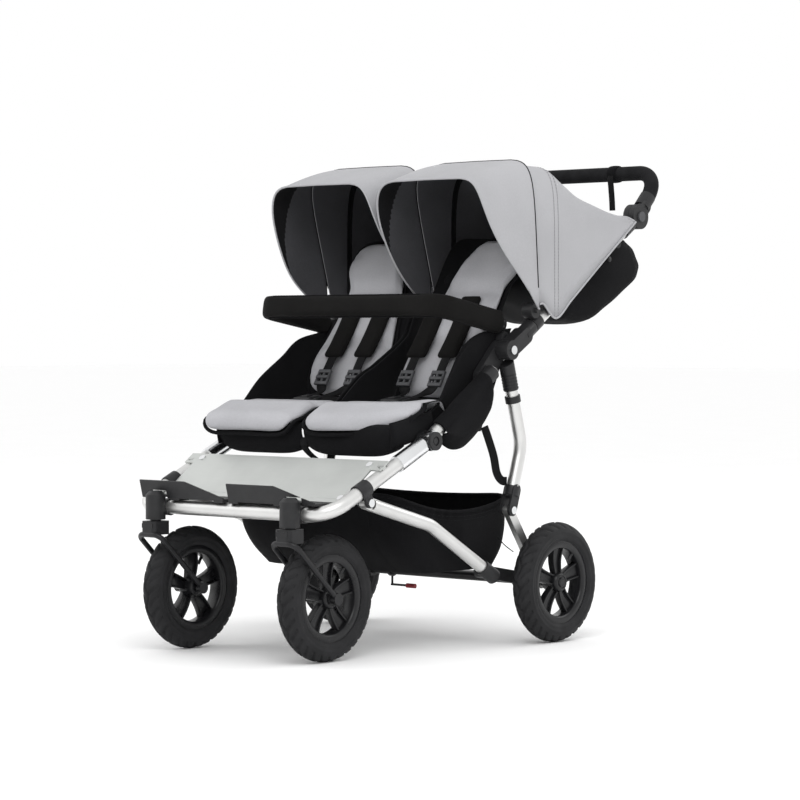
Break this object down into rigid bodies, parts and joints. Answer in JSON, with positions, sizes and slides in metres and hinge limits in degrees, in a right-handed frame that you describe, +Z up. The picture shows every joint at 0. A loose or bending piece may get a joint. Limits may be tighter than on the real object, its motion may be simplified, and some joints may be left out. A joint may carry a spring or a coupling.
{
  "type": "side by side double stroller",
  "caption": "Folding side by side double stroller with padded reclining seats, sliding hoods, bumper bar, basket, tilting handle, swivelling front wheels and air tyres.",
  "frame": {"origin": "middle of the footprint on the ground under the tyres", "axes": "+X to the left seat's outer side, +Y backwards towards the handle, +Z up"},
  "size_m": [0.65, 1.1104, 1.0054],
  "materials": {
    "anodised": "satin anodised",
    "brushed_plate": "brushed",
    "chrome": "polished",
    "black_plastic": "matte moulded",
    "black_steel": "satin black coat",
    "grey_plastic": "matte moulded",
    "red_plastic": "gloss moulded",
    "foam": "closed cell foam",
    "black_fabric": "woven",
    "grey_fabric": "woven",
    "tyre": "rubber with tread",
    "rim": "satin moulded"
  },
  "bodies": {
    "frame": {"front_frame": "anodised", "rail_knuckles": "chrome", "rail_sleeves": "chrome", "rail_caps": "black_plastic", "seat_rails": "anodised", "hinge_brackets": "black_plastic", "fold_pins": "chrome", "chassis_lugs": "black_plastic", "footplate": "brushed_plate", "footplate_rivets": "chrome", "footrests": "black_plastic", "swivel_housings": "black_plastic", "seat_shells": "black_fabric", "seat_pads": "grey_fabric", "lap_belts": "black_fabric"},
    "bumper": {"bumper_core": "black_steel", "bumper_sleeve": "black_fabric"},
    "handle_frame": {"uprights": "anodised", "upright_brackets": "black_plastic", "canopy_clamps": "black_plastic", "rear_cross_tube": "black_steel", "canopy_rears": "grey_fabric", "handle_hubs": "black_plastic"},
    "handle": {"handle_bar": "black_steel", "handle_grip": "foam", "handle_joints": "black_plastic", "wrist_strap": "black_fabric"},
    "button_left": {"handle_button_left": "grey_plastic"},
    "button_right": {"handle_button_right": "grey_plastic"},
    "canopy_left": {"canopy_front_left": "grey_fabric"},
    "canopy_right": {"canopy_front_right": "grey_fabric"},
    "seat_back_left": {"backrest_left": "black_fabric", "back_pad_left": "grey_fabric", "shoulder_straps_left": "black_fabric"},
    "seat_back_right": {"backrest_right": "black_fabric", "back_pad_right": "grey_fabric", "shoulder_straps_right": "black_fabric"},
    "lower_chassis": {"lower_rails": "anodised", "lower_legs": "anodised", "chassis_pins": "chrome", "rear_axle": "black_steel", "axle_brackets": "black_plastic", "basket": "black_fabric"},
    "brake": {"brake_pedal": "black_plastic"},
    "clip": {"storage_clip": "black_steel", "clip_tip": "red_plastic"},
    "leg_pair": {"rear_legs": "anodised", "leg_clips": "black_plastic"},
    "latch_left": {"fold_latch_left": "black_plastic"},
    "latch_right": {"fold_latch_right": "black_plastic"},
    "caster_left": {"caster_fork_left": "black_steel"},
    "caster_right": {"caster_fork_right": "black_steel"},
    "front_wheel_left": {"front_tyre_left": "tyre", "front_rim_left": "rim"},
    "front_wheel_right": {"front_tyre_right": "tyre", "front_rim_right": "rim"},
    "rear_wheel_left": {"rear_tyre_left": "tyre", "rear_rim_left": "rim"},
    "rear_wheel_right": {"rear_tyre_right": "tyre", "rear_rim_right": "rim"}
  },
  "joints": [
    {"name": "fold", "type": "hinge", "parent": "frame", "child": "handle_frame", "pos_m": [0, 0.02373, 0.60333], "axis": [1, 0, 0], "range_deg": [0, 152], "deforming": ["canopy_rears", "canopy_front_left", "canopy_front_right"]},
    {"name": "chassis_fold", "type": "hinge", "parent": "frame", "child": "lower_chassis", "pos_m": [0, -0.39798, 0.31039], "axis": [1, 0, 0], "range_deg": [0, 31.35], "deforming": ["basket"]},
    {"name": "leg_fold", "type": "hinge", "parent": "lower_chassis", "child": "leg_pair", "pos_m": [0, 0.03782, 0.27582], "axis": [1, 0, 0], "range_deg": [-79.04, 0]},
    {"name": "bumper_lift", "type": "hinge", "parent": "frame", "child": "bumper", "pos_m": [0, 0.03773, 0.63033], "axis": [1, 0, 0], "range_deg": [-40, 0]},
    {"name": "handle_tilt", "type": "hinge", "parent": "handle_frame", "child": "handle", "pos_m": [0, 0.46412, 0.88913], "axis": [1, 0, 0], "range_deg": [-50, 25]},
    {"name": "button_left_press", "type": "slide", "parent": "handle", "child": "button_left", "axis": [1, 0, 0], "range_m": [-0.004, 0], "stiffness_N_per_m": 300},
    {"name": "canopy_left_slide", "type": "hinge", "parent": "handle_frame", "child": "canopy_left", "pos_m": [0.13, 0.09625, 0.68425], "axis": [1, 0, 0], "range_deg": [-38, 0]},
    {"name": "recline_left", "type": "hinge", "parent": "frame", "child": "seat_back_left", "pos_m": [0.12, -0.05321, 0.47002], "axis": [1, 0, 0], "range_deg": [-25, 0]},
    {"name": "latch_left_slide", "type": "slide", "parent": "leg_pair", "child": "latch_left", "axis": [0, 0.2758, -0.9612], "range_m": [0, 0.012], "stiffness_N_per_m": 250, "springref_m": -0.004},
    {"name": "swivel_left", "type": "hinge", "parent": "frame", "child": "caster_left", "pos_m": [0.185, -0.52922, 0.29], "axis": [0, 0, 1], "continuous": true},
    {"name": "front_wheel_left_roll", "type": "hinge", "parent": "caster_left", "child": "front_wheel_left", "pos_m": [0.185, -0.43122, 0.124], "axis": [1, 0, 0], "continuous": true},
    {"name": "rear_wheel_left_roll", "type": "hinge", "parent": "lower_chassis", "child": "rear_wheel_left", "pos_m": [0.3015, 0.14178, 0.124], "axis": [1, 0, 0], "continuous": true},
    {"name": "button_right_press", "type": "slide", "parent": "handle", "child": "button_right", "axis": [1, 0, 0], "range_m": [0, 0.004], "stiffness_N_per_m": 300},
    {"name": "canopy_right_slide", "type": "hinge", "parent": "handle_frame", "child": "canopy_right", "pos_m": [-0.13, 0.09625, 0.68425], "axis": [1, 0, 0], "range_deg": [-38, 0]},
    {"name": "recline_right", "type": "hinge", "parent": "frame", "child": "seat_back_right", "pos_m": [-0.12, -0.05321, 0.47002], "axis": [1, 0, 0], "range_deg": [-25, 0]},
    {"name": "latch_right_slide", "type": "slide", "parent": "leg_pair", "child": "latch_right", "axis": [0, 0.2758, -0.9612], "range_m": [0, 0.012], "stiffness_N_per_m": 250, "springref_m": -0.004},
    {"name": "swivel_right", "type": "hinge", "parent": "frame", "child": "caster_right", "pos_m": [-0.185, -0.52922, 0.29], "axis": [0, 0, 1], "continuous": true},
    {"name": "front_wheel_right_roll", "type": "hinge", "parent": "caster_right", "child": "front_wheel_right", "pos_m": [-0.185, -0.43122, 0.124], "axis": [1, 0, 0], "continuous": true},
    {"name": "rear_wheel_right_roll", "type": "hinge", "parent": "lower_chassis", "child": "rear_wheel_right", "pos_m": [-0.3015, 0.14178, 0.124], "axis": [1, 0, 0], "continuous": true},
    {"name": "brake_press", "type": "hinge", "parent": "lower_chassis", "child": "brake", "pos_m": [0, 0.14178, 0.124], "axis": [1, 0, 0], "range_deg": [-20, 0]},
    {"name": "clip_swing", "type": "hinge", "parent": "lower_chassis", "child": "clip", "pos_m": [-0.146, 0.14178, 0.124], "axis": [1, 0, 0], "range_deg": [-150, 30]}
  ],
  "couplings": [
    {"joint": "chassis_fold", "follows": "fold", "ratio": 0.20625},
    {"joint": "leg_fold", "follows": "fold", "ratio": -0.52}
  ]
}
